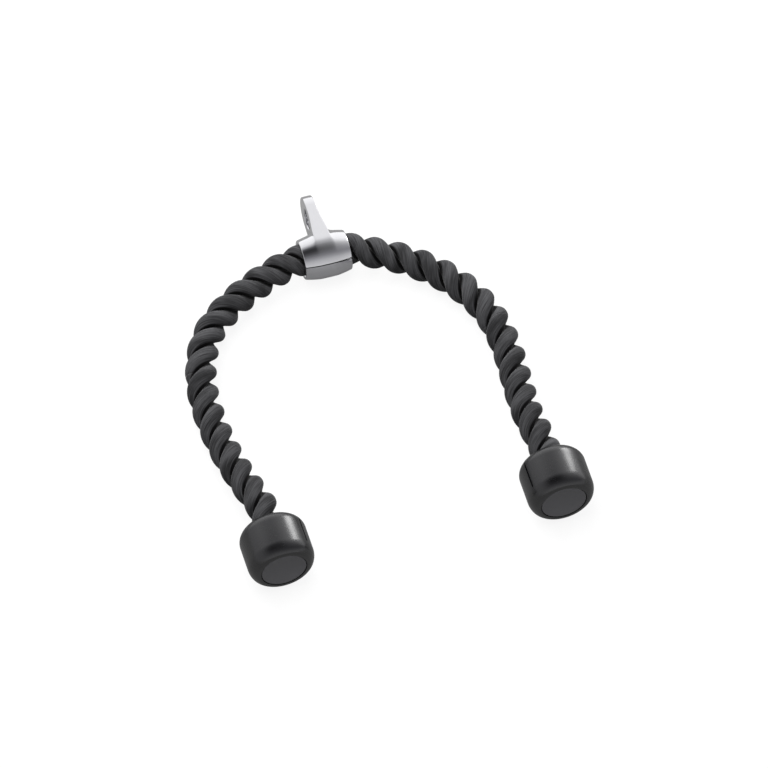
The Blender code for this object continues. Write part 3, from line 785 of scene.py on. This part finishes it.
# The studio: a pale floor that turns white in the picture and keeps a soft shadow, a white surround, and
# three soft lamps. What the metal and the rubber mirror is toned instead: bright behind, dark overhead and
# grey in front, with a little blue in it.
floor_size = 6.0
floor_drop = 0.0003
floor_glow_seen = 0.88
floor_glow_mirrored = 0.17
bpy.ops.object.select_all(action="DESELECT")
bpy.ops.mesh.primitive_plane_add(size=floor_size, location=(0, 0, -floor_drop))
floor = bpy.context.object
floor.name = "studio_floor"
bpy.ops.object.transform_apply(location=True, rotation=False, scale=False)
floor_paint, shader, nodes, join = new_material("studio_floor_paint")
shader.inputs["Base Color"].default_value = (0.14, 0.14, 0.14, 1)
shader.inputs["Roughness"].default_value = 0.9
shader.inputs["Specular IOR Level"].default_value = 0.0
shader.inputs["Emission Color"].default_value = (1, 1, 1, 1)
rays = nodes.new("ShaderNodeLightPath")
mirrored = nodes.new("ShaderNodeMath")
mirrored.operation = "MAXIMUM"
dim = nodes.new("ShaderNodeMath")
dim.operation = "MULTIPLY"
dim.inputs[1].default_value = floor_glow_mirrored
glow = nodes.new("ShaderNodeMath")
glow.operation = "MULTIPLY_ADD"
glow.inputs[1].default_value = floor_glow_seen
join(rays.outputs["Is Glossy Ray"], mirrored.inputs[0])
join(rays.outputs["Is Transmission Ray"], mirrored.inputs[1])
join(mirrored.outputs["Value"], dim.inputs[0])
join(rays.outputs["Is Camera Ray"], glow.inputs[0])
join(dim.outputs["Value"], glow.inputs[2])
join(glow.outputs["Value"], shader.inputs["Emission Strength"])
floor.data.materials.append(floor_paint)

world = bpy.data.worlds.new("studio_surround")
bpy.context.scene.world = world
world.use_nodes = True
nodes, join = world.node_tree.nodes, world.node_tree.links.new
background = nodes["Background"]
background.inputs["Strength"].default_value = 1.0
# What they mirror, from the rear horizon over the top to the front horizon, each a place and its grey.
# The dark strip is deepest a little to the left, lightens towards the right and ends in grey at the far left.
left_tones = (
    (0.0, 1.2), (0.10, 1.1), (0.20, 1.0), (0.275, 0.84), (0.34, 0.44), (0.40, 0.10), (0.46, 0.035),
    (0.53, 0.04), (0.60, 0.09), (0.68, 0.19), (0.75, 0.32), (0.84, 0.50), (0.92, 0.66), (1.0, 0.72),
)
right_tones = (
    (0.0, 1.2), (0.12, 1.2), (0.28, 1.1), (0.36, 0.92), (0.42, 0.66), (0.48, 0.50), (0.54, 0.38),
    (0.60, 0.31), (0.66, 0.25), (0.71, 0.26), (0.77, 0.33), (0.83, 0.45), (0.91, 0.62), (1.0, 0.75),
)
blue_share = 0.08
most_blue = 0.02
left_end_grey = 0.50


def mirrored_grey(grey):
    """A grey of the surround with a little blue in it, and no more than a touch where it is bright."""
    return grey, grey, grey + min(grey * blue_share, most_blue), 1


direction = nodes.new("ShaderNodeTexCoord")
parts = nodes.new("ShaderNodeSeparateXYZ")
height_turn = nodes.new("ShaderNodeMath")
height_turn.operation = "ARCTAN2"
half_turns = nodes.new("ShaderNodeMath")
half_turns.operation = "DIVIDE"
half_turns.inputs[1].default_value = math.pi
join(direction.outputs["Generated"], parts.inputs["Vector"])
join(parts.outputs["Z"], height_turn.inputs[0])
join(parts.outputs["Y"], height_turn.inputs[1])
join(height_turn.outputs["Value"], half_turns.inputs[0])
ramps = []
for tones in (left_tones, right_tones):
    ramp = nodes.new("ShaderNodeValToRGB")
    elements = ramp.color_ramp.elements
    while len(elements) < len(tones):
        elements.new(0.5)
    for (position, grey), element in zip(tones, elements):
        element.position = position
        element.color = mirrored_grey(grey)
    join(half_turns.outputs["Value"], ramp.inputs["Fac"])
    ramps.append(ramp)
rightwards = nodes.new("ShaderNodeMapRange")
rightwards.interpolation_type = "SMOOTHSTEP"
rightwards.inputs["From Min"].default_value = -0.10
rightwards.inputs["From Max"].default_value = 0.75
leftwards = nodes.new("ShaderNodeMapRange")
leftwards.interpolation_type = "SMOOTHSTEP"
leftwards.inputs["From Min"].default_value = -0.46
leftwards.inputs["From Max"].default_value = -0.92
mirror_tones = nodes.new("ShaderNodeMix")
mirror_tones.data_type = "RGBA"
left_end = nodes.new("ShaderNodeMix")
left_end.data_type = "RGBA"
left_end.inputs["B"].default_value = mirrored_grey(left_end_grey)
join(parts.outputs["X"], rightwards.inputs["Value"])
join(parts.outputs["X"], leftwards.inputs["Value"])
join(rightwards.outputs["Result"], mirror_tones.inputs["Factor"])
join(leftwards.outputs["Result"], left_end.inputs["Factor"])
join(mirror_tones.outputs["Result"], left_end.inputs["A"])
join(ramps[0].outputs["Color"], mirror_tones.inputs["A"])
join(ramps[1].outputs["Color"], mirror_tones.inputs["B"])
soft_light = nodes.new("ShaderNodeMix")
soft_light.data_type = "RGBA"
soft_light.inputs["A"].default_value = (0.42, 0.42, 0.43, 1)
white_or = nodes.new("ShaderNodeMix")
white_or.data_type = "RGBA"
white_or.inputs["B"].default_value = (1, 1, 1, 1)
rays = nodes.new("ShaderNodeLightPath")
mirrored = nodes.new("ShaderNodeMath")
mirrored.operation = "MAXIMUM"
join(rays.outputs["Is Glossy Ray"], mirrored.inputs[0])
join(rays.outputs["Is Transmission Ray"], mirrored.inputs[1])
join(mirrored.outputs["Value"], soft_light.inputs["Factor"])
join(left_end.outputs["Result"], soft_light.inputs["B"])
join(soft_light.outputs["Result"], white_or.inputs["A"])
join(rays.outputs["Is Camera Ray"], white_or.inputs["Factor"])
join(white_or.outputs["Result"], background.inputs["Color"])


def soft_lamp(name, place, width, height, power, mirrored_too):
    """A rectangular lamp that faces the object, and whether polished surfaces mirror it."""
    light = bpy.data.lights.new(name, "AREA")
    light.shape = "RECTANGLE"
    light.size, light.size_y = width, height
    light.energy = power
    lamp = bpy.data.objects.new(name, light)
    bpy.context.scene.collection.objects.link(lamp)
    lamp.location = place
    lamp.rotation_euler = (-Vector(place)).to_track_quat("-Z", "Y").to_euler()
    lamp.visible_glossy = mirrored_too


soft_lamp("overhead_lamp", (-0.3, 0.2, 1.8), 1.4, 1.4, 25, False)
soft_lamp("rear_right_lamp", (1.25, 0.95, 0.70), 0.5, 0.6, 6.5, True)
soft_lamp("rear_lamp", (-0.2, 1.6, 0.75), 1.6, 0.5, 26, False)

bpy.context.scene.view_settings.view_transform = "Standard"
